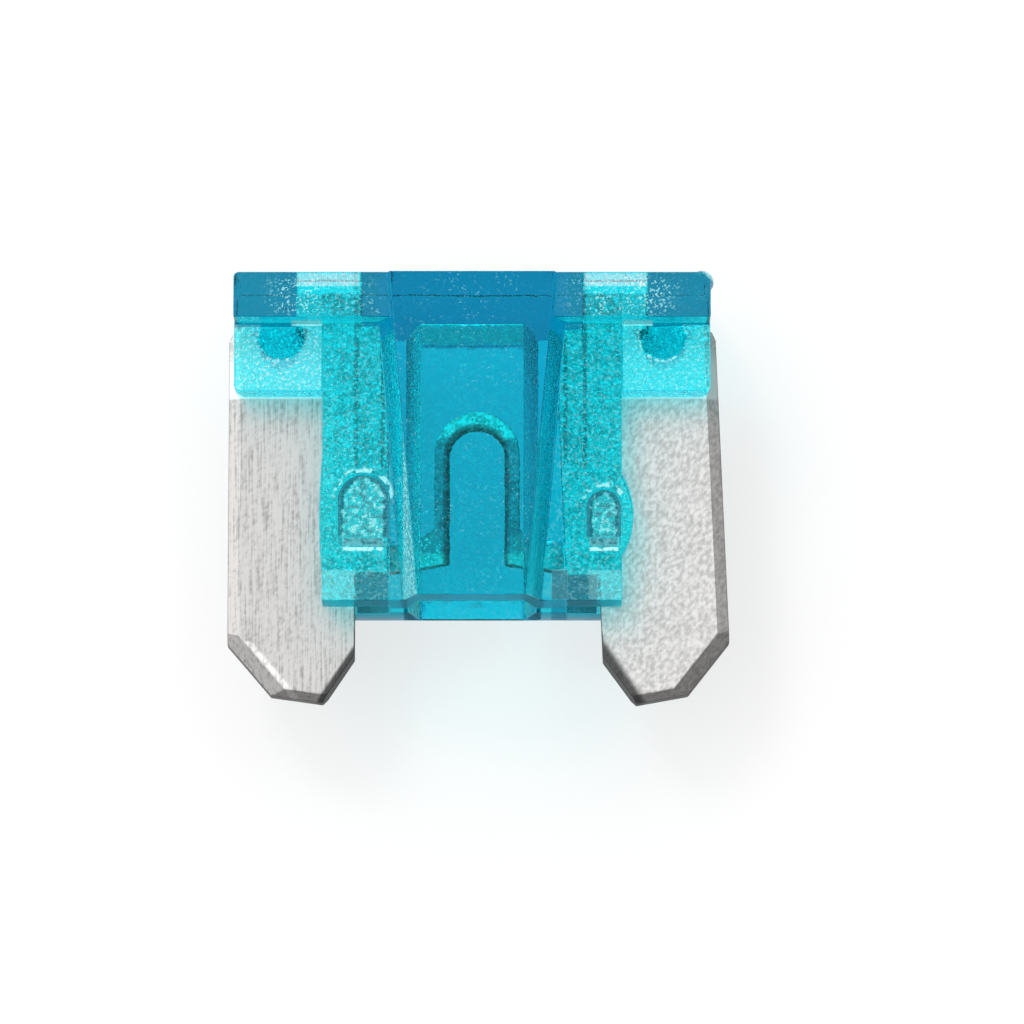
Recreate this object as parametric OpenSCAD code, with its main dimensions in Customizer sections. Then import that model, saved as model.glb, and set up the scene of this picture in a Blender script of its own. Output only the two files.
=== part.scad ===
// Low-profile mini blade fuse: a clear plastic housing over one stamped metal element.
// It lies on its back. +X runs across both blades, +Y towards the head, +Z out of the front.
// The origin is on the back face, on the centre line, level with the underside of the head.

/* [Head and ears] */
// Width of the head and ears
head_w = 10.36; // [10.2:0.02:10.5]
// Height of the head above its underside
head_h = 1; // [0.7:0.05:1.6]
// Thickness of the head, front to back
head_t = 3.6; // [3:0.05:3.75]
// Corner radius of the head
head_r = 0.12; // [0.05:0.01:0.3]
// How far the ears hang below the head
ear_drop = 1.5; // [1.2:0.05:2.5]
// Thickness of the ears over both cheeks
ear_t = 2.2; // [1.6:0.05:2.35]
// Corner radius of the ears
ear_r = 0.16; // [0.05:0.01:0.4]

/* [Body] */
// Width over both side columns
body_w = 6.5; // [6.4:0.02:7]
// How far the body hangs below the head
body_drop = 6.15; // [5.9:0.05:6.5]
// Thickness of the side columns, front to back
column_t = 2.4; // [2.25:0.05:2.8]
// Thickness of the middle box, front to back: the housing's full thickness
box_t = 3.8; // [3.7:0.05:4.4]
// Width of the box's flat face at the top of the head
face_top_w = 3.6; // [3.2:0.05:3.8]
// Width of the box's flat face at the bottom of the body
face_low_w = 2.36; // [2.3:0.02:2.9]
// Sideways slope of each flank of the box, from face to column
flank = 0.3; // [0.1:0.01:0.35]
// Length of the slope that ends the box's back face
back_slope = 0.55; // [0.2:0.05:0.9]

/* [Chamber] */
// Width of the open chamber at its front and back
chamber_w = 2.26; // [2.2:0.02:2.5]
// Width of the chamber in its middle plane, which its side walls slope out to
chamber_mid_w = 2.88; // [2.7:0.02:2.94]
// Depth of the chamber, front to back
chamber_t = 2.3; // [1.8:0.05:2.5]
// Plastic between the head's underside and the chamber's ceiling
chamber_roof = 0.08; // [0.02:0.02:0.6]
// Radius where the chamber's ceiling meets its walls
chamber_r = 0.3; // [0.1:0.05:0.6]

/* [Blades] */
// Distance between the centre lines of the blades
pitch = 7.86; // [7.7:0.02:8]
// Width of each blade
blade_w = 2.76; // [2.6:0.02:2.8]
// Thickness of the stamped strip
blade_t = 0.8; // [0.5:0.05:0.9]
// Distance from the head's underside to the lowest point of a blade
blade_drop = 8.22; // [7.9:0.05:9]
// Angle that the right blade has been bent outwards
splay = 2.3; // [0:0.05:2.5]
// Sideways run of the tip's outer slope
tip_out_w = 0.95; // [0.6:0.05:1.2]
// Height of the tip's outer slope
tip_out_h = 1.12; // [0.7:0.02:1.3]
// Sideways run of the tip's inner slope
tip_in_w = 0.68; // [0.4:0.02:0.9]
// Height of the tip's inner slope
tip_in_h = 1.02; // [0.5:0.02:1.2]
// How much the tip's outer corner is higher than its inner one
tip_fall = 0.16; // [0:0.02:0.3]
// Width of the coined slope round the tip, seen from the front
coin_w = 0.3; // [0.1:0.02:0.4]
// Depth of the coined slope round the tip
coin_d = 0.24; // [0.08:0.02:0.24]
// Width of the rolled slope along a blade's outer edge
roll_w = 0.26; // [0.05:0.01:0.4]
// Depth of the rolled slope along a blade's outer edge
roll_d = 0.12; // [0.04:0.01:0.2]

/* [Plates] */
// Distance from the centre line to the inner edge of each plate
plate_in = 1.83; // [1.7:0.01:1.95]
// Distance from the head's underside to the lower edge of a plate's inner end
plate_drop = 5.45; // [5.3:0.05:5.6]
// Radius between a blade and its plate
plate_r = 0.1; // [0.05:0.01:0.2]
// Width of the test tab that rises through the head
tab_w = 1.38; // [1.2:0.02:1.5]
// Distance between the centre lines of the test tabs
tab_pitch = 6.24; // [6.1:0.02:6.3]
// How far a test tab's root runs down into its plate
tab_root = 0.4; // [0.2:0.05:0.8]
// How far a test tab ends below the top of the head
tab_sink = 0.03; // [0.02:0.01:0.3]
// Radius at the bottom of the notch beside the tab
notch_r = 0.42; // [0.3:0.01:0.5]
// Width of the notch at the plate's top edge, where it undercuts the tab
notch_w = 1.36; // [1.1:0.02:1.5]
// Distance between the centre lines of the notches
notch_pitch = 8.36; // [8.3:0.02:8.5]
// Depth of the notch below the plate's top edge
notch_drop = 0.92; // [0.6:0.02:1.2]
// Radius of the plate's outer shoulder
shoulder_r = 0.25; // [0.1:0.05:0.35]

/* [Link] */
// Thickness of the coined link
link_t = 0.3; // [0.2:0.02:0.5]
// Outer width of the link over both legs
link_w = 1.85; // [1.7:0.05:1.9]
// Width of the link's legs
leg_w = 0.34; // [0.2:0.02:0.4]
// Width of the slope along the link's inner edge
leg_slope = 0.15; // [0.04:0.01:0.18]
// Distance from the head's underside to the top of the link
link_top = 1.82; // [1.5:0.02:2.4]
// How much wider the strip is at the top of the arch than in its legs
crown = 0.07; // [0:0.01:0.2]
// Height of the feet where they join the plates
foot_h = 0.65; // [0.4:0.05:0.8]
// Height of the slope from a leg out to its foot
foot_rise = 0.4; // [0.2:0.05:0.6]
// How much higher than the plates' lower edges the legs end
leg_lift = 0.24; // [0.1:0.02:0.3]

/* [Stakes] */
// Distance from the head's underside to the bottom of the staked pits
stake_low = 4.7; // [4.4:0.05:5]
// Depth of the staked pits
stake_d = 0.45; // [0.2:0.05:0.55]
// Lean of the staking punch
stake_lean = 8; // [0:1:12]
// Width of the left pit
stake_left_w = 1.14; // [0.7:0.02:1.16]
// Height of the left pit
stake_left_h = 1.4; // [1.2:0.05:1.8]
// Distance of the left pit from the centre line
stake_left_x = 2.36; // [2.3:0.02:2.5]
// Width of the right pit
stake_right_w = 0.78; // [0.5:0.02:0.9]
// Height of the right pit
stake_right_h = 1.08; // [0.96:0.02:1.6]
// Distance of the right pit from the centre line
stake_right_x = 2.86; // [2.5:0.02:2.9]
// Distance from the head's underside to the middle of the bulges that staking pushed out
bulge_y = 4.25; // [3.9:0.05:4.6]
// Height of the bulge that staking pushed out of the left column
bulge_left_h = 2.6; // [1.6:0.1:2.8]
// How far the left bulge stands out
bulge_left = 0.06; // [0.03:0.01:0.3]
// Height of the bulge that staking pushed out of the right column
bulge_right_h = 1.8; // [1.6:0.1:2.2]
// How far the right bulge stands out
bulge_right = 0.25; // [0.2:0.01:0.35]

/* [Fits] */
// Gap between metal and plastic
fit = 0.03; // [0.02:0.01:0.06]
// Gap round the link's feet in the chamber's walls
foot_fit = 0.08; // [0.04:0.01:0.15]

/* [Moulding mark] */
// Radius of the squashed gate mark on the head's right corner
gate_r = 0.26; // [0.15:0.01:0.3]
// How far the gate mark stands out of the corner
gate_out = 0.07; // [0.02:0.01:0.08]

/* [Hidden] */
$fn = 48;
over = 0.2;
skin = 0.01;
mid_z = box_t / 2;
plate_out = pitch / 2 + blade_w / 2;
blade_in = pitch / 2 - blade_w / 2;
foot_shift = plate_drop * sin(splay);
link_x = foot_shift / 2;
leg_out = link_w / 2;
leg_in = leg_out - leg_w;
arch_y = -link_top - crown - leg_out;
foot_top = plate_drop - foot_h;
foot_start = foot_top - foot_rise;
link_drop = plate_drop - leg_lift;
body_h = head_h + body_drop;
tab_in = tab_pitch / 2 - tab_w / 2;
tab_out = tab_pitch / 2 + tab_w / 2;
face_slope = (face_top_w - face_low_w) / 2 / body_h;
foot_x = chamber_mid_w / 2 - (chamber_mid_w - chamber_w) / 2 * link_t / chamber_t - foot_fit;
plastic = [0.05, 0.55, 0.75, 0.6];
zinc = [0.72, 0.72, 0.7];

// A flat outline, made solid by a thickness centred on the fuse's middle plane
module slab(thickness) {
    translate([0, 0, mid_z - thickness / 2])
        linear_extrude(thickness) children();
}

// A rectangle from one corner to the opposite one
module span(low, high) {
    translate(low) square(high - low);
}

// A rectangle whose lower corners are round
module round_foot(w, low, high, r) {
    union() {
        span([-w / 2, low + r], [w / 2, high]);
        span([r - w / 2, low], [w / 2 - r, high]);
        for (side = [-1, 1])
            translate([side * (w / 2 - r), low + r]) circle(r);
    }
}

// Puts a right-hand shape on either side
module level(side) {
    mirror([side > 0 ? 0 : 1, 0, 0]) children();
}

// Does the same, and leans the right one with the bent blade
module placed(side) {
    if (side > 0)
        translate([pitch / 2, 0, 0]) rotate([0, 0, splay]) translate([-pitch / 2, 0, 0]) children();
    else
        level(side) children();
}

// Housing

// The box in the middle: flanks that slope and a face that narrows downwards
module box_half(low) {
    top_half = face_top_w / 2;
    low_half = top_half - face_slope * (head_h - low);
    base_low_half = face_low_w / 2 + flank;
    hull() {
        translate([0, 0, box_t / 2 - skin]) linear_extrude(skin)
            polygon([[-top_half, head_h], [top_half, head_h], [low_half, low], [-low_half, low]]);
        linear_extrude(column_t / 2)
            polygon([[-top_half - flank, head_h], [top_half + flank, head_h],
                     [base_low_half, -body_drop], [-base_low_half, -body_drop]]);
    }
}

module box() {
    translate([0, 0, mid_z]) box_half(-body_drop);
    translate([0, 0, mid_z]) mirror([0, 0, 1]) box_half(back_slope - body_drop);
}

// The head band, with round upper corners
module head() {
    slab(head_t) mirror([0, 1]) round_foot(head_w, -head_h, 0, head_r);
}

module ears() {
    slab(ear_t) round_foot(head_w, -ear_drop, 0, ear_r);
}

// A round swelling on a column's outer side, with the column's own lower end
module bulge(side, out, height) {
    radius = (height * height / 4 + out * out) / (2 * out);
    intersection() {
        translate([side * (body_w / 2 + out - radius), -bulge_y]) circle(radius, $fn = 96);
        span([side > 0 ? body_w / 2 - over : -body_w / 2 - out, -body_drop],
             [side > 0 ? body_w / 2 + out : -body_w / 2 + over, 0]);
    }
}

module columns() {
    slab(column_t) {
        span([-body_w / 2, -body_drop], [body_w / 2, 0]);
        bulge(-1, bulge_left, bulge_left_h);
        bulge(1, bulge_right, bulge_right_h);
    }
}

// The chamber under the head: six-sided seen from below, with round upper corners
module chamber() {
    half = chamber_w / 2;
    mid_half = chamber_mid_w / 2;
    intersection() {
        translate([0, -chamber_roof, mid_z]) rotate([90, 0, 0]) linear_extrude(body_drop)
            polygon([
                [mid_half, 0], [half, chamber_t / 2], [-half, chamber_t / 2],
                [-mid_half, 0], [-half, -chamber_t / 2], [half, -chamber_t / 2]
            ]);
        slab(chamber_t + over)
            mirror([0, 1]) round_foot(chamber_mid_w, chamber_roof, body_drop + over, chamber_r);
    }
}

// Room for the plates, open downwards and at the ears' outer sides, and for their tabs
module plate_slots() {
    for (side = [-1, 1]) {
        placed(side) slab(blade_t + 2 * fit)
            span([plate_in - fit, -blade_drop], [plate_out + over, fit]);
        level(side) slab(blade_t + 2 * fit)
            span([tab_in - fit, -tab_root - fit], [tab_out + fit, head_h + over]);
    }
}

// The cut through the chamber's walls that lets the link's feet reach the plates
module foot_slot() {
    slab(link_t + 2 * foot_fit)
        span([-plate_in, -body_drop - over], [plate_in + foot_shift, foot_fit - foot_top]);
}

// A pit left by the staking punch: arched at the top, square at the bottom
module stake_pit(x, w, h) {
    translate([x, -stake_low, column_t / 2 - stake_d])
        rotate([stake_lean, 0, 0]) linear_extrude(stake_d * 2) {
            span([-w / 2, 0], [w / 2, h - w / 2]);
            translate([0, h - w / 2]) circle(w / 2);
        }
}

module stake_pits() {
    for (face = [0, 1])
        translate([0, 0, mid_z]) mirror([0, 0, face]) {
            stake_pit(-stake_left_x, stake_left_w, stake_left_h);
            stake_pit(stake_right_x, stake_right_w, stake_right_h);
        }
}

// The squashed mark where the moulding was broken off its gate
module gate_mark() {
    translate([head_w / 2 + gate_out - gate_r, head_h + gate_out - gate_r, mid_z + head_t / 2 - gate_r])
        sphere(gate_r);
}

module housing() {
    color(plastic) difference() {
        union() {
            head();
            ears();
            columns();
            box();
            gate_mark();
        }
        chamber();
        foot_slot();
        stake_pits();
        plate_slots();
    }
}

// Fuse element

// Outline of the right plate and blade
module plate_outline() {
    difference() {
        polygon([
            [plate_in, 0], [plate_out - shoulder_r, 0],
            [plate_out - shoulder_r * (1 - sin(45)), -shoulder_r * (1 - sin(45))],
            [plate_out, -shoulder_r],
            [plate_out, tip_fall + tip_out_h - blade_drop],
            [plate_out - tip_out_w, tip_fall - blade_drop],
            [blade_in + tip_in_w, -blade_drop],
            [blade_in, tip_in_h - blade_drop],
            [blade_in, -plate_drop - plate_r], [blade_in - plate_r, -plate_drop], [plate_in, -plate_drop]
        ]);
        notch();
        translate([blade_in - plate_r, -plate_drop - plate_r]) circle(plate_r);
    }
}

// The notch between the tab and the plate's outer shoulder: wide at the top, round at the bottom
module notch() {
    low = notch_r - notch_drop;
    translate([notch_pitch / 2, 0]) {
        translate([0, low]) circle(notch_r);
        polygon([
            [-notch_r, low], [notch_r, low], [notch_w / 2, 0], [notch_w / 2, over],
            [-notch_w / 2, over], [-notch_w / 2, 0]
        ]);
    }
}

// The test tab, which stays level and is rooted in the plate inside the notch
module tab() {
    slab(blade_t) {
        span([tab_in, -fit], [tab_out, head_h - tab_sink]);
        span([tab_in, -tab_root], [notch_pitch / 2 - notch_w / 2, 0]);
    }
}

// Cuts a slope of width w and depth d along the front edge that runs from one point to another.
// The metal lies to the left of that direction.
module coined_edge(from, to, w, d) {
    run = norm(to - from);
    translate([from.x, from.y, blade_t / 2])
        rotate([0, 0, atan2(to.y - from.y, to.x - from.x)])
            translate([-w, w, 0]) rotate([atan2(d, w), 0, 0])
                translate([0, -3 * w, 0]) cube([run + 2 * w, 3 * w, blade_t]);
}

// The slopes on one face of the right blade: round the tip and along the outer edge
module coined_face() {
    inner = [blade_in + tip_in_w, -blade_drop];
    outer = [plate_out - tip_out_w, tip_fall - blade_drop];
    upper = [plate_out, tip_fall + tip_out_h - blade_drop];
    coined_edge(inner, outer, coin_w / 2, coin_d);
    coined_edge(outer, upper, coin_w, coin_d);
    coined_edge([plate_out, -blade_drop], [plate_out, over], roll_w, roll_d);
}

module plate() {
    difference() {
        slab(blade_t) plate_outline();
        for (face = [0, 1])
            translate([0, 0, mid_z]) mirror([0, 0, face]) coined_face();
    }
}

// Section of the link's strip: its width from the inside out, and a slope on each inner edge
module link_section() {
    polygon([
        [leg_in, 0], [leg_in + leg_slope, link_t / 2], [leg_out, link_t / 2],
        [leg_out, -link_t / 2], [leg_in + leg_slope, -link_t / 2]
    ]);
}

// The arch on top of the link, thickened at its crown
module link_arch() {
    rotate_extrude(angle = 180) link_section();
    difference() {
        translate([0, crown, -link_t / 2]) cylinder(r = leg_out, h = link_t);
        translate([0, 0, -link_t]) cylinder(r = leg_in + leg_slope, h = 2 * link_t);
        translate([-link_w, -link_w, -link_t]) cube([2 * link_w, link_w, 2 * link_t]);
    }
}

// A leg, from the arch down to the bottom of the link
module link_leg() {
    leg = link_drop + arch_y;
    rotate([90, 0, 0]) linear_extrude(leg) link_section();
}

// A foot that flares from the leg into the plate's inner edge
module link_foot(side) {
    reach = side > 0 ? plate_in + foot_shift + over : plate_in + over;
    shift = side * link_x;
    slab(link_t) polygon([
        [side * (leg_in + leg_slope + shift), -foot_start],
        [side * (leg_out + shift), -foot_start],
        [side * foot_x, -foot_top],
        [side * reach, -foot_top],
        [side * reach, -plate_drop],
        [side * (leg_in + leg_slope + shift), -link_drop]
    ]);
}

module link() {
    translate([link_x, arch_y, mid_z]) {
        link_arch();
        for (side = [0, 1]) mirror([side, 0, 0]) link_leg();
    }
    for (side = [-1, 1]) link_foot(side);
}

module fuse_element() {
    color(zinc) union() {
        for (side = [-1, 1]) {
            placed(side) plate();
            level(side) tab();
        }
        link();
    }
}

housing();
fuse_element();
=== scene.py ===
"""Looks for a low-profile mini blade fuse: clear blue plastic over stamped zinc, lying on a white floor."""

import math

import bpy
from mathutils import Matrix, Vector

MM = 0.001

# Camera: a long lens that looks down on the fuse, a little from the blades' end
CAMERA_TILT = math.radians(11.3)
CAMERA_DISTANCE = 180 * MM
CAMERA_SENSOR = 36.0
CAMERA_NEAR = 10 * MM
CAMERA_FAR = 2.0
PHOTO_PX = 1024
PHOTO_PX_PER_MM = 45.87
CAMERA_TARGET = Vector((0.867, -3.963, 1.9)) * MM

# Light: bright from the head's left side, dim over the blades' tips and straight overhead
KEY_PLACE = Vector((-90, 130, 160)) * MM
KEY_SIZE = 60 * MM
KEY_RADIANCE = 10.0
GLOW_FROM = Vector((-0.35, 0.55, 0.75))
GLOW_STARTS = 0.1
GLOW_FULL = 0.95
GLOW = 1.6
SKY_TURN = 0.6
SKY_LOW = 0.25
SKY_HIGH = 0.6
OVERHEAD = 0.05
OVERHEAD_INSIDE = math.radians(14)
OVERHEAD_OUTSIDE = math.radians(30)
FLOOR_WHITE = 0.3
FLOOR_LIFT = 0.69
FLOOR_HALF = 2.0
FLOOR_Z = -0.02 * MM

# Edges
WELD = 0.001 * MM
FLAT_ANGLE = math.radians(1)
EDGE_ANGLE = math.radians(25)
PLASTIC_EDGE = 0.03 * MM
METAL_EDGE = 0.025 * MM

# Plastic
PLASTIC_IOR = 1.5
UNDERSIDE_IOR = 1.05
PLASTIC_ABSORBS = (0.0, 0.956, 0.982, 1.0)
PLASTIC_DENSITY = 3000.0
PLASTIC_SHINE = (0.15, 0.7, 0.8, 1.0)
PLASTIC_SHADE = 0.95
PLASTIC_ROUGH = 0.04
GRAIN_HEIGHT = 0.02 * MM
WAVE_HEIGHT = 0.012 * MM

# The plastic's colour at its surface, by place; most of these are painted shade and painted light
CLEAR = (0.5, 1.0, 1.0, 1.0)
# Painted shade: the dark colour of the pits' dark lines and bars and of the windows under the plates
SHADE_COLOUR = (0.03, 0.2, 0.26, 1.0)
# Painted highlight: the pale colour over the tabs' tops
TAB_TOP_HIGHLIGHT = (0.95, 0.93, 0.95, 1.0)
# Painted light: the left ear paler than the right, on the side the light comes from
LEFT_EAR_LIGHT = (0.9, 1.0, 1.0, 1.0)
# Painted shade: the back faces darker, most of all behind the head and its box, where the floor behind lies
# in shadow
BACK_SHADE = (0.75, 0.59, 0.76, 1.0)
HEAD_BACK_SHADE = (0.6, 0.17, 0.26, 1.0)
BOX_BACK_SHADE = (0.6, 0.17, 0.32, 1.0)
# Painted shade: the undersides darker
UNDERSIDE_SHADE = (0.2, 0.3, 0.36, 1.0)
# Painted light: the back's low slope lighter cyan than the rest of the back
LOW_SLOPE_LIGHT = (0.2, 1.0, 1.0, 1.0)
# Painted shade: the head's top darker, dimming the light that comes in through it; the box's top tints that
# light green
HEAD_TOP_SHADE = (0.2, 0.42, 0.55, 1.0)
BOX_TOP_COLOUR = (0.01, 1.0, 0.42, 1.0)
CHAMBER_TOP_COLOUR = (0.03, 0.6, 1.0, 1.0)

# Metal
METAL_ROUGH = 0.55
METAL_GRAIN = 0.014 * MM
BLACK = (0.0, 0.0, 0.0, 1.0)
ZINC_COLOUR = (1.0, 0.97, 0.95, 1.0)
LINK_COLOUR = (1.0, 0.82, 1.05, 1.0)

# The fuse's own places, in millimetres: depths of its faces, in front of the middle plane or behind it
MID_Z = 1.9
BOX_FACE = 1.85
HEAD_FACE = 1.8
COLUMN_FACE = 1.2
EAR_FACE = 1.1
PIT_FLOOR = 0.84
SLOT_FACE = 0.43

# Places in Y, from the head's underside
HEAD_TOP = 0.985
TAB_TOP = 0.82
TAB_END = 0.7
CHAMBER_TOP = -0.08
EAR_LOW = -1.55
LINK_CROWN = -2.5
LINK_ARCH_Y = -2.815
LINK_FOOT = -4.6
PIT_LOW = -4.7
PLATE_LOW = -5.5
BODY_LOW = -6.0
COLUMN_LOW = -6.2
TIP_START = -6.6

# Places in X, from the centre line
LINK_X = 0.11
LINK_REACH = 1.4
CHAMBER_WALL = 1.28
CHAMBER_HALF = 1.42
BOX_HALF = 2.0
TAB_X = 3.12
TAB_HALF = 0.66
COLUMN_SIDE = 3.22
EAR_SIDE = 3.26
TRACES = (-2.53, -1.95, 2.03, 2.45)

# Each pit's x, half width and height, and the round basins beside the tabs
PITS = ((-2.36, 0.57, 1.4), (2.86, 0.39, 1.08))
BASIN_X = 4.15
BASIN_Y = -0.3
BASIN_RADIUS = 0.48

# The tips' chamfers, each as a point on the cut and the direction away from it
INNER_CHAMFER = ((2.55, -7.2), (0.832, 0.555))
OUTER_CHAMFER = ((-5.31, -6.94), (0.762, 0.647))
BENT_TIP_SHIFT = 0.31


class Nodes:
    """A short way to write a material's node tree."""

    def __init__(self, tree):
        self.tree = tree
        tree.nodes.clear()

    def add(self, kind, **values):
        """Adds a node and sets its properties, or its inputs, whose names have _ for a space."""
        node = self.tree.nodes.new(kind)
        for name, value in values.items():
            if hasattr(node, name):
                setattr(node, name, value)
            else:
                self.put(node.inputs[name.replace("_", " ")], value)
        return node

    def put(self, socket, value):
        """Links the socket to another one, or sets its value."""
        if isinstance(value, bpy.types.NodeSocket):
            self.tree.links.new(value, socket)
        else:
            socket.default_value = value

    def math(self, operation, a, b=0.0):
        node = self.tree.nodes.new("ShaderNodeMath")
        node.operation = operation
        self.put(node.inputs[0], a)
        self.put(node.inputs[1], b)
        return node.outputs[0]

    def chain(self, operation, values):
        total = values[0]
        for value in values[1:]:
            total = self.math(operation, total, value)
        return total

    def plus(self, *values):
        return self.chain("ADD", values)

    def times(self, *values):
        return self.chain("MULTIPLY", values)

    def most(self, *values):
        return self.chain("MAXIMUM", values)

    def minus(self, a, b):
        return self.math("SUBTRACT", a, b)

    def magnitude(self, value):
        return self.math("ABSOLUTE", value)

    def invert(self, value):
        return self.minus(1.0, value)

    def at_most_one(self, value):
        return self.math("MINIMUM", value, 1.0)

    def distance(self, across, up):
        return self.math("SQRT", self.plus(self.times(across, across), self.times(up, up)))

    def from_cut(self, x, y, cut):
        """The distance from a straight cut, given as a point on it and the direction away from it."""
        (cut_x, cut_y), (way_x, way_y) = cut
        return self.plus(self.times(self.minus(x, cut_x), way_x), self.times(self.minus(y, cut_y), way_y))

    def ramp(self, value, low, high, at_low=0.0, at_high=1.0):
        """Goes smoothly from at_low to at_high while the value goes from low to high."""
        node = self.tree.nodes.new("ShaderNodeMapRange")
        node.interpolation_type = "SMOOTHSTEP"
        self.put(node.inputs["Value"], value)
        self.put(node.inputs["From Min"], low)
        self.put(node.inputs["From Max"], high)
        self.put(node.inputs["To Min"], at_low)
        self.put(node.inputs["To Max"], at_high)
        return node.outputs["Result"]

    def above(self, value, edge, soft):
        """0 up to the edge, rising to 1 over the soft distance beyond."""
        return self.ramp(value, edge, edge + soft)

    def below(self, value, edge, soft):
        """1 up to the edge, falling to 0 over the soft distance beyond."""
        return self.ramp(value, edge, edge + soft, 1.0, 0.0)

    def near(self, value, place, width, soft):
        """1 within width of place, falling to 0 over the soft distance beyond."""
        return self.below(self.magnitude(self.minus(value, place)), width, soft)

    def dim(self, mask, level):
        """1 where the mask is 0, and the level where it is 1."""
        return self.ramp(mask, 0.0, 1.0, 1.0, level)

    def split(self, socket):
        node = self.tree.nodes.new("ShaderNodeSeparateXYZ")
        self.put(node.inputs[0], socket)
        return node.outputs[0], node.outputs[1], node.outputs[2]

    def place(self):
        """The point's x, y and z on the fuse, in millimetres."""
        scale = self.tree.nodes.new("ShaderNodeVectorMath")
        scale.operation = "SCALE"
        self.put(scale.inputs[0], self.tree.nodes.new("ShaderNodeTexCoord").outputs["Object"])
        self.put(scale.inputs["Scale"], 1.0 / MM)
        return self.split(scale.outputs[0])

    def facing(self):
        """The surface's own direction: x, y and z."""
        return self.split(self.tree.nodes.new("ShaderNodeTexCoord").outputs["Normal"])

    def noise(self, size, detail, stretch=(1.0, 1.0, 1.0), roughness=0.55, turn=0.0):
        """Noise whose grains are about size millimetres across, turned by some degrees."""
        place = self.tree.nodes.new("ShaderNodeTexCoord").outputs["Object"]
        mapping = self.tree.nodes.new("ShaderNodeMapping")
        mapping.vector_type = "TEXTURE"
        self.put(mapping.inputs["Vector"], place)
        self.put(mapping.inputs["Rotation"], (0.0, 0.0, math.radians(turn)))
        self.put(mapping.inputs["Scale"], stretch)
        node = self.tree.nodes.new("ShaderNodeTexNoise")
        self.put(node.inputs["Vector"], mapping.outputs[0])
        self.put(node.inputs["Scale"], 1.0 / (size * MM))
        self.put(node.inputs["Detail"], detail)
        self.put(node.inputs["Roughness"], roughness)
        return node.outputs["Fac"]

    def bump(self, height, distance, normal=None):
        node = self.tree.nodes.new("ShaderNodeBump")
        self.put(node.inputs["Height"], height)
        self.put(node.inputs["Strength"], 1.0)
        self.put(node.inputs["Distance"], distance)
        if normal is not None:
            self.put(node.inputs["Normal"], normal)
        return node.outputs[0]

    def blend(self, amount, first, second):
        node = self.tree.nodes.new("ShaderNodeMix")
        node.data_type = "RGBA"
        self.put(node.inputs[0], amount)
        self.put(node.inputs[6], first)
        self.put(node.inputs[7], second)
        return node.outputs[2]


def new_material(name):
    material = bpy.data.materials.new(name)
    material.use_nodes = True
    nodes = Nodes(material.node_tree)
    return material, nodes, nodes.add("ShaderNodeOutputMaterial")


def grey(value):
    return (value, value, value, 1.0)


class PlasticPlaces:
    """Where a point of the plastic lies: distances in millimetres, and masks from 0 to 1."""

    def __init__(self, nodes):
        self.x, self.y, self.z = nodes.place()
        nx, ny, nz = nodes.facing()
        upright = nodes.magnitude(nz)
        self.side_x = nodes.magnitude(self.x)
        self.depth = nodes.magnitude(nodes.minus(self.z, MID_Z))
        self.left = nodes.below(self.x, -0.1, 0.2)
        self.flat = nodes.above(upright, 0.8, 0.15)
        self.below_plates = nodes.below(self.y, PLATE_LOW, 0.04)

        # Faces inside: the slots round the plates and their window, the pits, and the chamber
        self.slot = nodes.times(nodes.near(self.depth, SLOT_FACE, 0.04, 0.04), self.flat)
        window_x = nodes.plus(self.side_x, nodes.times(self.left, 0.2))
        self.window = nodes.times(self.slot, nodes.below(window_x, 2.7, 0.03), self.below_plates)
        self.pit_floor = nodes.times(nodes.near(self.depth, PIT_FLOOR, 0.2, 0.02), self.flat)
        self.chamber_wall = nodes.times(nodes.near(self.side_x, CHAMBER_WALL, 0.2, 0.02),
                                        nodes.above(nodes.magnitude(nx), 0.6, 0.3))
        self.chamber_top = nodes.times(nodes.above(nodes.magnitude(ny), 0.8, 0.15),
                                       nodes.near(self.y, CHAMBER_TOP, 0.03, 0.01),
                                       nodes.below(self.side_x, CHAMBER_HALF, 0.03))

        # Faces outside
        self.column_face = nodes.times(nodes.near(self.depth, COLUMN_FACE, 0.05, 0.05), self.flat)
        self.head_face = nodes.near(self.depth, HEAD_FACE, 0.05, 0.02)
        self.head_top = nodes.above(self.y, HEAD_TOP, 0.01)
        self.underside = nodes.times(nodes.below(ny, -0.9, 0.2), nodes.below(self.y, BODY_LOW, 0.1))
        self.tab_top = nodes.times(nodes.near(self.side_x, TAB_X, TAB_HALF, 0.03),
                                   nodes.near(self.y, TAB_TOP, 0.13, 0.03), self.head_face)
        self.ear = nodes.times(nodes.near(self.depth, EAR_FACE, 0.03, 0.02),
                               nodes.above(self.side_x, EAR_SIDE, 0.04), nodes.below(self.y, -0.05, 0.05))
        from_basin = nodes.distance(nodes.minus(self.side_x, BASIN_X), nodes.minus(self.y, BASIN_Y))
        self.basin = nodes.below(from_basin, BASIN_RADIUS, 0.08)

        # Faces at the back
        self.behind = nodes.times(nodes.above(upright, 0.3, 0.1), nodes.below(self.z, 0.82, 0.04))
        self.behind_head = nodes.times(self.behind, nodes.above(self.y, -0.02, 0.02))
        self.behind_box = nodes.times(self.behind_head, nodes.below(self.side_x, BOX_HALF, 0.2))
        self.low_slope = nodes.times(self.behind, nodes.below(upright, 0.85, 0.1),
                                     nodes.below(self.y, PLATE_LOW - 0.1, 0.1))


class PlasticGrains:
    """The noises that several of the plastic's marks use."""

    def __init__(self, nodes):
        self.dots = nodes.noise(0.07, 1.0)
        self.glints = nodes.noise(0.12, 2.0)
        self.blobs = nodes.ramp(nodes.noise(0.16, 1.0), 0.48, 0.62)
        self.flecks = nodes.ramp(nodes.noise(0.07, 2.0), 0.5, 0.66)
        self.patchy = nodes.ramp(nodes.noise(1.1, 2.0), 0.4, 0.7)


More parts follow.
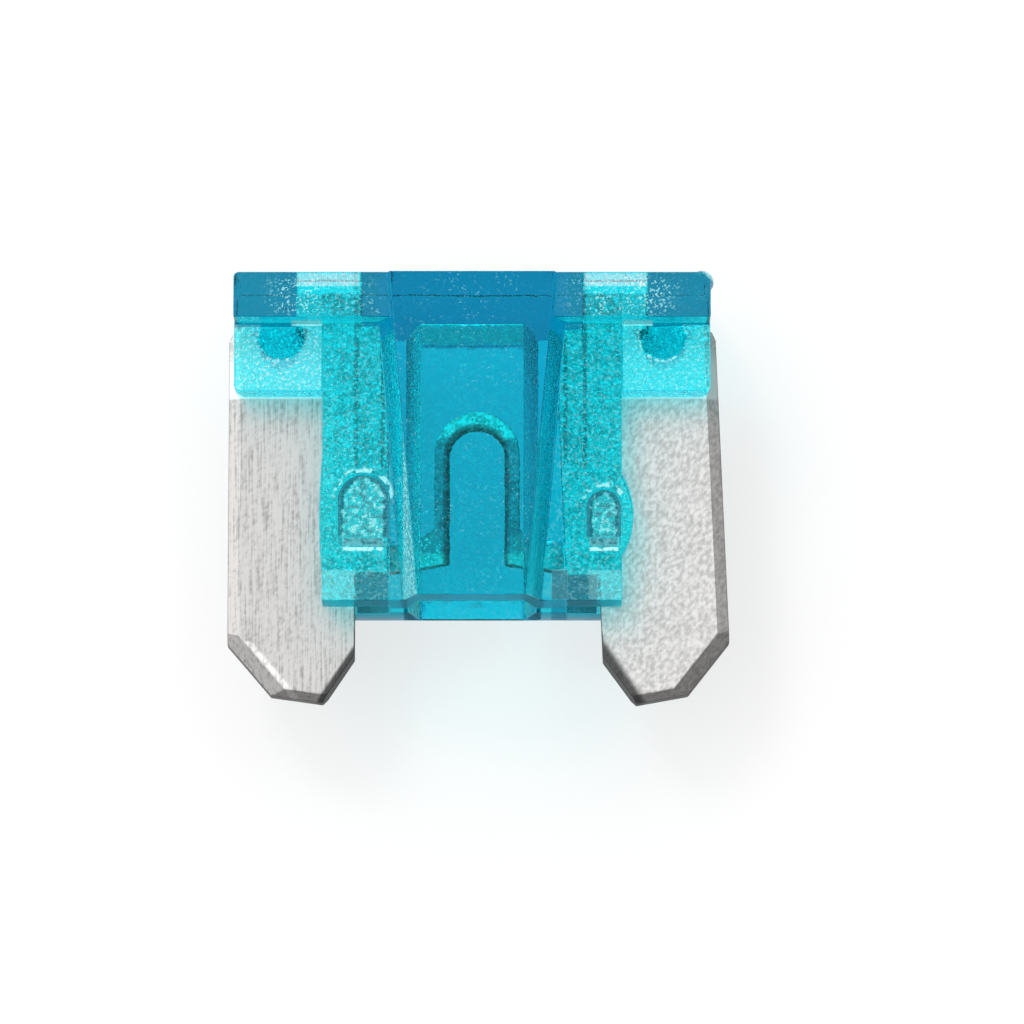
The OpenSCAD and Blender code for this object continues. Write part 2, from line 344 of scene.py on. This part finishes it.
def staked_pits(nodes, at, grains):
    """Painted light and shade round each pit: white dots round its arch, a dark line inside it, glints in its
    middle and two bars below, one dark and one white.
    """
    white = 0.0
    painted_shade = 0.0
    for pit_x, half, height in PITS:
        arch_y = PIT_LOW + height - half
        across = nodes.magnitude(nodes.minus(at.x, pit_x))
        away = nodes.distance(across, nodes.most(nodes.minus(at.y, arch_y), 0.0))
        in_pit = nodes.times(nodes.above(at.y, PIT_LOW, 0.06), at.pit_floor)
        arch = nodes.times(nodes.near(away, half + 0.03, 0.03, 0.06), nodes.above(at.y, arch_y - 0.1, 0.1),
                           at.column_face)
        line = nodes.times(nodes.near(away, half - 0.07, 0.05, 0.04), in_pit)
        middle = nodes.times(nodes.below(away, half - 0.12, 0.06), in_pit)
        bars = nodes.times(nodes.near(across, 0.0, half * 0.7, 0.06), at.column_face)
        white_bar = nodes.times(bars, nodes.near(at.y, PIT_LOW - 0.32, 0.02, 0.04))
        dark_bar = nodes.times(bars, nodes.near(at.y, PIT_LOW - 0.14, 0.06, 0.06))
        # Painted highlights: the arch's dots, the middle's glints and the white bar; painted shade: the dark
        # line and the dark bar
        white = nodes.plus(white, nodes.times(arch, grains.blobs, 0.7),
                           nodes.times(middle, nodes.ramp(grains.glints, 0.52, 0.64), 0.7),
                           nodes.times(white_bar, nodes.ramp(grains.glints, 0.35, 0.5)))
        painted_shade = nodes.plus(painted_shade, nodes.times(line, 0.9),
                          nodes.times(middle, nodes.ramp(grains.glints, 0.4, 0.5, 0.8, 0.0)),
                          nodes.times(dark_bar, nodes.ramp(grains.glints, 0.6, 0.4, 0.6, 1.0)))
    return white, painted_shade


def specks_and_painted_glints(nodes, at, grains):
    """Specks and scratches: painted glints round the tabs, grit and scratches over the outside that are real
    marks painted white as the glints they catch, painted highlights under the head and on the chamber's top
    edge, and the whitened gate mark.
    """
    # Painted glints round the tabs
    tab_glints = nodes.times(nodes.near(at.side_x, 3.2, 0.8, 0.7), nodes.near(at.y, 0.45, 0.25, 0.3),
                             nodes.ramp(nodes.noise(0.055, 1.0), 0.56, 0.66),
                             nodes.ramp(grains.patchy, 0.0, 0.4, 0.35, 1.0), at.head_face, at.flat)
    outside = nodes.times(nodes.above(at.depth, 1.05, 0.1), at.flat)
    # Grit and scratches: real marks, painted white as the glints they catch
    grit = nodes.times(nodes.ramp(nodes.noise(0.045, 1.0), 0.66, 0.72),
                       nodes.plus(nodes.times(grains.patchy, 0.25), 0.05))
    long_grains = nodes.noise(0.03, 1.0, (1.0, 8.0, 1.0), turn=50)
    scratches = nodes.times(nodes.ramp(long_grains, 0.7, 0.76), grains.patchy, 0.14)
    # Painted highlights at the shoulders under the head and along the chamber's top edge
    shoulder_highlights = nodes.times(nodes.near(at.side_x, 3.6, 0.3, 0.05), nodes.near(at.y, 0.0, 0.04, 0.02),
                            nodes.near(at.depth, 1.25, 0.17, 0.05),
                            nodes.ramp(grains.blobs, 0.0, 1.0, 0.8, 1.0))
    chamber_edge_glints = nodes.times(nodes.near(at.x, -0.1, 0.75, 0.2), nodes.near(at.y, CHAMBER_TOP, 0.02, 0.03),
                               nodes.ramp(nodes.noise(0.12, 1.0), 0.45, 0.6),
                               nodes.near(at.depth, 1.1, 0.06, 0.02))
    gate = nodes.times(nodes.above(nodes.plus(at.x, at.y), 5.95, 0.15), nodes.above(at.z, 3.0, 0.1),
                       nodes.ramp(grains.glints, 0.35, 0.6, 0.5, 1.0))
    return nodes.plus(nodes.times(tab_glints, 0.6), nodes.times(nodes.plus(grit, scratches), outside),
                      shoulder_highlights, chamber_edge_glints, gate)


def painted_glints_inside(nodes, at, grains):
    """Painted glints as white dots in the slots and on the chamber's left wall, on the side the light comes
    from, and a veil of painted light in the ears and tabs' ends.
    """
    past_column = nodes.times(nodes.above(at.side_x, COLUMN_SIDE, 0.08), nodes.below(at.y, 0.0, 0.03),
                              nodes.ramp(at.y, -0.9, -0.3, 1.0, 0.5), nodes.invert(at.basin))
    # Painted glints as white dots, and painted light as a veil past the columns and at the tabs' ends
    painted_slot_light = nodes.plus(nodes.times(nodes.ramp(grains.dots, 0.55, 0.63), 0.8), nodes.times(past_column, 0.3),
                       nodes.times(nodes.above(at.y, TAB_END - 0.02, 0.04), 0.4))
    return nodes.plus(nodes.times(at.slot, painted_slot_light, nodes.invert(at.window)),
                      nodes.times(at.chamber_wall, at.left, nodes.ramp(grains.dots, 0.45, 0.6, 0.15, 0.6)))


def painted_sheen_outside(nodes, at, grains):
    """A pale veil of painted sheen with flecks on the flat faces outside, and painted highlights on the
    basins' broken rims.
    """
    # Painted highlights on the basins' broken rims
    rim = nodes.times(nodes.above(at.basin, 0.0, 0.1), nodes.below(at.basin, 0.9, 0.1),
                      nodes.ramp(grains.dots, 0.4, 0.5), grains.blobs, 0.6)
    round_basin = nodes.times(nodes.invert(at.basin), nodes.plus(0.1, nodes.times(grains.flecks, 0.35)))
    column_end = nodes.times(at.below_plates, nodes.ramp(at.side_x, 2.5, 2.55, 0.2, 1.0), 0.2)
    on_column = nodes.plus(column_end, 0.01, nodes.times(at.left, 0.01), nodes.times(grains.flecks, 0.15))
    on_tab_top = nodes.plus(0.22, nodes.times(grains.flecks, 0.2))
    # Painted sheen: a pale veil on the ears, columns, tabs' tops, head and box
    sheen = nodes.plus(nodes.times(at.ear, nodes.plus(round_basin, rim)),
                      nodes.times(at.column_face, on_column),
                      nodes.times(at.tab_top, on_tab_top), nodes.times(at.head_face, 0.03),
                      nodes.times(nodes.above(at.depth, BOX_FACE, 0.03), 0.012))
    return nodes.times(sheen, at.flat)


def plastic_colour(nodes, at, painted_shade):
    """The colour at the surface, with painted shade and light: the back is painted dimmer than the front,
    most of all behind the head, the undersides and the head's top darker, and the tabs' tops, the left ear
    and the back's low slope paler.
    """
    colour = nodes.blend(painted_shade, CLEAR, SHADE_COLOUR)
    box_top = nodes.times(at.head_top, nodes.below(at.side_x, 1.5, 0.2))
    for mask, here in (
        (nodes.times(at.tab_top, at.flat), TAB_TOP_HIGHLIGHT),
        (nodes.times(at.ear, at.left, at.flat), LEFT_EAR_LIGHT),
        (at.behind, BACK_SHADE),
        (at.behind_head, HEAD_BACK_SHADE),
        (at.behind_box, BOX_BACK_SHADE),
        (at.underside, UNDERSIDE_SHADE),
        (at.low_slope, LOW_SLOPE_LIGHT),
        (at.head_top, HEAD_TOP_SHADE),
        (box_top, BOX_TOP_COLOUR),
        (at.chamber_top, CHAMBER_TOP_COLOUR),
    ):
        colour = nodes.blend(mask, colour, here)
    return colour


def clear_blue_plastic():
    """Tinted plastic: smooth outside with fine scratches, coarse where the mould was rough inside."""
    material, nodes, output = new_material("clear_blue_plastic")
    at = PlasticPlaces(nodes)
    grains = PlasticGrains(nodes)

    pit_highlights, pit_shade = staked_pits(nodes, at, grains)
    # Pale marks that make the surface less clear: painted glints, highlights and sheen, real grit and
    # scratches, and the whitened gate mark
    white = nodes.at_most_one(nodes.plus(
        pit_highlights, specks_and_painted_glints(nodes, at, grains), painted_glints_inside(nodes, at, grains),
        painted_sheen_outside(nodes, at, grains)))
    # Painted shade in the windows under the plates and beside the right one
    window_shade = nodes.times(at.window, nodes.plus(0.95, nodes.times(at.left, -0.1)))
    beside_window_shade = nodes.times(at.column_face, nodes.near(at.x, 1.9, 0.16, 0.02), at.below_plates)
    painted_shade = nodes.times(nodes.at_most_one(nodes.plus(pit_shade, window_shade, beside_window_shade)), nodes.invert(white))

    rough = nodes.at_most_one(nodes.plus(at.slot, at.chamber_wall, at.pit_floor))
    coarse = nodes.ramp(nodes.noise(0.085, 2.0), 0.3, 0.7)
    height = nodes.plus(nodes.times(coarse, rough), nodes.times(nodes.noise(0.06, 2.0), 0.05))
    wave = nodes.bump(nodes.noise(0.9, 2.0), WAVE_HEIGHT)
    surface = nodes.add(
        "ShaderNodeBsdfPrincipled",
        Base_Color=plastic_colour(nodes, at, painted_shade),
        Roughness=nodes.plus(PLASTIC_ROUGH, nodes.times(rough, 0.12), nodes.times(at.underside, 0.4)),
        IOR=nodes.ramp(at.underside, 0.0, 1.0, PLASTIC_IOR, UNDERSIDE_IOR),
        Transmission_Weight=nodes.times(nodes.invert(nodes.times(white, 0.9)),
                                         nodes.invert(nodes.times(painted_shade, 0.8)),
                                         nodes.invert(nodes.times(at.chamber_top, 0.6))),
        Specular_Tint=PLASTIC_SHINE,
        Normal=nodes.bump(height, GRAIN_HEIGHT, wave),
    )

    # Light from the lamp and from rough surfaces passes straight through, so that the metal inside is lit
    path = nodes.add("ShaderNodeLightPath")
    through = nodes.add("ShaderNodeMixShader")
    nodes.put(through.inputs[0], nodes.most(path.outputs["Is Shadow Ray"], path.outputs["Is Diffuse Ray"]))
    nodes.put(through.inputs[1], surface.outputs[0])
    nodes.put(through.inputs[2], nodes.add("ShaderNodeBsdfTransparent", Color=grey(PLASTIC_SHADE)).outputs[0])
    absorption = nodes.add("ShaderNodeVolumeAbsorption", Color=PLASTIC_ABSORBS, Density=PLASTIC_DENSITY)
    nodes.put(output.inputs["Surface"], through.outputs[0])
    nodes.put(output.inputs["Volume"], absorption.outputs[0])
    return material


class MetalPlaces:
    """Where a point of the metal lies: distances in millimetres, and masks from 0 to 1."""

    def __init__(self, nodes):
        self.x, self.y, _ = nodes.place()
        self.nx, _, nz = nodes.facing()
        self.side_x = nodes.magnitude(self.x)
        self.upright = nodes.magnitude(nz)
        self.left = nodes.below(self.x, -1.0, 2.0)
        self.right = nodes.invert(self.left)
        in_columns = nodes.times(nodes.below(self.side_x, COLUMN_SIDE, 0.02),
                                 nodes.above(self.y, COLUMN_LOW, 0.05))
        self.covered = nodes.most(nodes.above(self.y, EAR_LOW, 0.05), in_columns)
        self.chamber = nodes.below(self.side_x, LINK_REACH, 0.1)
        self.from_arch = nodes.distance(nodes.minus(self.x, LINK_X),
                                        nodes.most(nodes.minus(self.y, LINK_ARCH_Y), 0.0))


def plates_under_plastic(nodes, at, specks_and_glints):
    """Pale and full of specks, the metal's own speckle with painted glints, and more even at the tabs' ends,
    under the ears and in the columns' ends.
    """
    soft = nodes.ramp(nodes.noise(0.22, 5.0, roughness=0.7), 0.35, 0.65, 0.42, 0.8)
    cells = nodes.times(nodes.plus(soft, specks_and_glints), nodes.ramp(nodes.noise(0.1, 2.0), 0.32, 0.42, 0.72, 1.0))
    even = nodes.most(
        nodes.times(nodes.above(at.y, TAB_END, 0.04), 0.92),
        nodes.times(nodes.below(at.y, PLATE_LOW, 0.05), 0.47),
        nodes.times(nodes.above(at.side_x, 3.2, 0.1), nodes.ramp(at.y, -0.9, -0.2, 0.95, 0.6)),
        nodes.times(at.chamber, nodes.above(at.y, LINK_CROWN, 0.2), 0.45))
    right_column = nodes.times(nodes.below(at.side_x, 3.24, 0.06), nodes.below(at.y, TAB_END, 0.04), at.right)
    left_inner = nodes.times(at.left, nodes.below(at.side_x, 2.4, 0.2))
    level = nodes.times(nodes.dim(right_column, 0.9), nodes.ramp(at.y, 0.0, 0.05, 1.0, 0.78),
                        nodes.dim(left_inner, 0.88))
    traces = nodes.plus(*(nodes.near(at.x, trace_x, 0.02, 0.05) for trace_x in TRACES))
    upper_traces = nodes.times(traces, nodes.above(at.y, -3.2, 0.2))
    return nodes.times(nodes.most(nodes.times(cells, level), even), nodes.dim(upper_traces, 0.45))


def link_marks(nodes, at, specks_and_glints):
    """Masks for the link: its dim strip, painted shade on its arch's inner slope, and painted glints on crown
    and feet.
    """
    strip = nodes.times(at.chamber, nodes.above(at.y, -5.0, 0.1), nodes.below(at.y, LINK_CROWN, 0.2))
    # Painted shade on the arch's inner slope
    inner_slope_shade = nodes.times(at.chamber, nodes.below(at.from_arch, 0.65, 0.04))
    # Painted glints on the crown and the feet
    crown_glints = nodes.times(nodes.above(at.from_arch, 0.72, 0.04), nodes.above(at.y, -2.65, 0.3),
                        nodes.ramp(nodes.noise(0.08, 2.0), 0.42, 0.56))
    feet_glints = nodes.times(nodes.below(at.y, LINK_FOOT, 0.2), nodes.ramp(specks_and_glints, 0.0, 0.4, 0.3, 1.0),
                       nodes.above(at.from_arch, 0.76, 0.04))
    return strip, inner_slope_shade, nodes.times(at.chamber, nodes.most(crown_glints, feet_glints))


def painted_edge_shade(nodes, at):
    """Painted shade on the edges: coined slopes a little darker, sheared sides dark, the right blade's
    outward faces darker, and the tips' inner sides nearly black.
    """
    face = nodes.above(at.upright, 0.3, 0.45)
    coined = nodes.above(at.upright, 0.75, 0.24)
    inward = nodes.most(nodes.times(nodes.above(at.nx, 0.1, 0.2), at.left),
                        nodes.times(nodes.below(at.nx, -0.3, 0.2), at.right))
    unbent_x = nodes.minus(at.side_x, nodes.times(at.right, BENT_TIP_SHIFT))
    from_inner_cut = nodes.from_cut(unbent_x, at.y, INNER_CHAMFER)
    # Painted shade along the tips' inner chamfers
    tip_inner_shade = nodes.ramp(from_inner_cut, 0.07, nodes.plus(0.18, nodes.times(at.right, 0.12)), 1.0, 0.0)
    sheared = nodes.most(nodes.times(inward, nodes.invert(coined)), nodes.times(tip_inner_shade, 0.9))
    tip = nodes.below(at.y, TIP_START - 0.1, 0.1)
    return nodes.times(
        nodes.ramp(face, 0.0, 1.0, 0.3, 1.0),
        nodes.most(nodes.ramp(coined, 0.0, 1.0, 0.78, 1.0), nodes.times(at.left, 0.8)),
        nodes.dim(nodes.times(nodes.above(at.nx, 0.05, 0.25), at.right), 0.55),
        nodes.dim(nodes.times(sheared, tip), 0.07))


def stamped_zinc():
    """Grey metal: brushed on the left blade, mottled and painted lighter on the right one, pale and speckled
    under plastic, with painted glints and painted shade on its edges.
    """
    material, nodes, output = new_material("stamped_zinc")
    at = MetalPlaces(nodes)

    brushed = nodes.noise(0.05, 3.0, (1.0, 24.0, 1.0))
    mottled = nodes.noise(0.08, 4.0, (1.0, 1.6, 1.0), turn=-35)
    # The right blade's grain and tone are raised a little, painted light that evens out the lamp's light from
    # the left
    grain = nodes.plus(nodes.times(brushed, nodes.plus(nodes.times(at.left, 0.55), 0.15)),
                       nodes.times(mottled, nodes.plus(nodes.times(at.left, -0.22), 0.67)),
                       nodes.times(at.right, 0.09))
    # A burnished line on the left tip: real wear, painted brighter as a highlight
    burnished_highlight = nodes.times(nodes.near(nodes.from_cut(at.x, at.y, OUTER_CHAMFER), 0.36, 0.02, 0.08), at.left,
                            nodes.ramp(mottled, 0.3, 0.6, 0.6, 1.0), nodes.below(at.y, -6.95, 0.1))
    bare = nodes.plus(nodes.ramp(grain, 0.36, 0.64, 0.32, 0.63), nodes.times(at.right, 0.16),
                      nodes.times(burnished_highlight, 0.3))

    # Bright specks: the metal's own speckle with painted glints
    specks_and_glints = nodes.ramp(nodes.noise(0.07, 2.0), 0.54, 0.68, 0.0, 0.4)
    strip, inner_slope_shade, glints = link_marks(nodes, at, specks_and_glints)
    plates = plates_under_plastic(nodes, at, specks_and_glints)
    # Under plastic: painted shade on the link's inner slope and painted glints on its crown and feet
    under = nodes.most(nodes.times(plates, nodes.dim(strip, 0.5), nodes.dim(inner_slope_shade, 0.4)), glints)

    shade = nodes.plus(nodes.times(bare, nodes.invert(at.covered)), nodes.times(under, at.covered))
    # Painted shade on the edges, slopes and tips
    shade = nodes.times(shade, painted_edge_shade(nodes, at))
    lit_colour = nodes.blend(nodes.times(strip, nodes.invert(glints)), ZINC_COLOUR, LINK_COLOUR)
    surface = nodes.add(
        "ShaderNodeBsdfPrincipled",
        Base_Color=nodes.blend(shade, BLACK, lit_colour),
        Metallic=nodes.ramp(at.covered, 0.0, 1.0, 0.15, 0.05),
        Roughness=METAL_ROUGH,
        Normal=nodes.bump(nodes.plus(grain, nodes.times(specks_and_glints, at.covered)), METAL_GRAIN),
    )
    nodes.put(output.inputs["Surface"], surface.outputs[0])
    return material


def white_floor():
    """A pale floor that keeps the fuse's shadow."""
    material, nodes, output = new_material("white_floor")
    paper = nodes.add("ShaderNodeBsdfDiffuse", Color=grey(FLOOR_WHITE))
    path = nodes.add("ShaderNodeLightPath")
    seen = nodes.most(*(path.outputs[f"Is {kind} Ray"] for kind in ("Camera", "Transmission", "Glossy")))
    lift = nodes.add("ShaderNodeEmission", Strength=nodes.times(seen, FLOOR_LIFT))
    both = nodes.add("ShaderNodeAddShader")
    nodes.put(both.inputs[0], paper.outputs[0])
    nodes.put(both.inputs[1], lift.outputs[0])
    nodes.put(output.inputs["Surface"], both.outputs[0])
    return material


def light_world():
    """A soft surround: a wide glow from the head's left, dim low down at the tips and dark overhead."""
    world = bpy.data.worlds.new("studio")
    world.use_nodes = True
    nodes = Nodes(world.node_tree)
    direction = nodes.add("ShaderNodeTexCoord").outputs["Generated"]

    def along(vector):
        node = nodes.add("ShaderNodeVectorMath", operation="DOT_PRODUCT")
        nodes.put(node.inputs[0], direction)
        nodes.put(node.inputs[1], vector.normalized())
        return node.outputs["Value"]

    sky = nodes.ramp(along(Vector((0, 1, 0))), -SKY_TURN, SKY_TURN, SKY_LOW, SKY_HIGH)
    glow = nodes.ramp(along(GLOW_FROM), GLOW_STARTS, GLOW_FULL, 0.0, GLOW)
    mirror = Vector((0, math.sin(CAMERA_TILT), math.cos(CAMERA_TILT)))
    cap = nodes.ramp(along(mirror), math.cos(OVERHEAD_OUTSIDE), math.cos(OVERHEAD_INSIDE), 1.0, OVERHEAD)
    strength = nodes.times(nodes.plus(sky, glow), cap)
    background = nodes.add("ShaderNodeBackground", Color=grey(1.0), Strength=strength)
    output = nodes.add("ShaderNodeOutputWorld")
    nodes.put(output.inputs["Surface"], background.outputs[0])
    bpy.context.scene.world = world


def make_floor():
    sides = ((-1, -1), (1, -1), (1, 1), (-1, 1))
    corners = [(x * FLOOR_HALF, y * FLOOR_HALF, FLOOR_Z) for x, y in sides]
    mesh = bpy.data.meshes.new("floor")
    mesh.from_pydata(corners, [], [(0, 1, 2, 3)])
    floor = bpy.data.objects.new("floor", mesh)
    bpy.context.scene.collection.objects.link(floor)
    mesh.materials.append(white_floor())


def make_lamp(name, place, size, radiance):
    """A square lamp that points at the fuse."""
    data = bpy.data.lights.new(name, "AREA")
    data.shape = "SQUARE"
    data.size = size
    data.energy = radiance * math.pi * size * size
    lamp = bpy.data.objects.new(name, data)
    lamp.location = place
    lamp.rotation_euler = (CAMERA_TARGET - place).to_track_quat("-Z", "Y").to_euler()
    bpy.context.scene.collection.objects.link(lamp)


def make_camera():
    data = bpy.data.cameras.new("camera")
    data.sensor_width = CAMERA_SENSOR
    field = PHOTO_PX / PHOTO_PX_PER_MM * MM
    data.lens = data.sensor_width * CAMERA_DISTANCE / field
    data.clip_start = CAMERA_NEAR
    data.clip_end = CAMERA_FAR
    camera = bpy.data.objects.new("camera", data)
    back = Vector((0.0, -math.sin(CAMERA_TILT), math.cos(CAMERA_TILT)))
    camera.location = CAMERA_TARGET + back * CAMERA_DISTANCE
    camera.rotation_euler = (CAMERA_TILT, 0.0, 0.0)
    bpy.context.scene.collection.objects.link(camera)
    bpy.context.scene.camera = camera


def dress(piece, material, rounding):
    """Gives a CAD piece its finish and rounds its edges a little."""
    piece.data.materials.clear()
    piece.data.materials.append(material)
    weld = piece.modifiers.new("weld", "WELD")
    weld.merge_threshold = WELD
    flat = piece.modifiers.new("flat", "DECIMATE")
    flat.decimate_type = "DISSOLVE"
    flat.angle_limit = FLAT_ANGLE
    bevel = piece.modifiers.new("rounding", "BEVEL")
    bevel.width = rounding
    bevel.segments = 2
    bevel.limit_method = "ANGLE"
    bevel.angle_limit = EDGE_ANGLE
    bevel.use_clamp_overlap = False
    bevel.harden_normals = True


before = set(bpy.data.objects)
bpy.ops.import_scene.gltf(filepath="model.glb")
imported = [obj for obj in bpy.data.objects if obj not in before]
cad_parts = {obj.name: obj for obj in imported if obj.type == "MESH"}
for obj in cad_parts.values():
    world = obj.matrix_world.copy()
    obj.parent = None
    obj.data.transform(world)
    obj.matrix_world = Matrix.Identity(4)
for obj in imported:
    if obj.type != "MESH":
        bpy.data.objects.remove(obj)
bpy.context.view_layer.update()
bpy.context.scene.view_settings.view_transform = "Standard"

make_camera()
light_world()
make_floor()
make_lamp("key", KEY_PLACE, KEY_SIZE, KEY_RADIANCE)
dress(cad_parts["housing"], clear_blue_plastic(), PLASTIC_EDGE)
dress(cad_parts["fuse_element"], stamped_zinc(), METAL_EDGE)
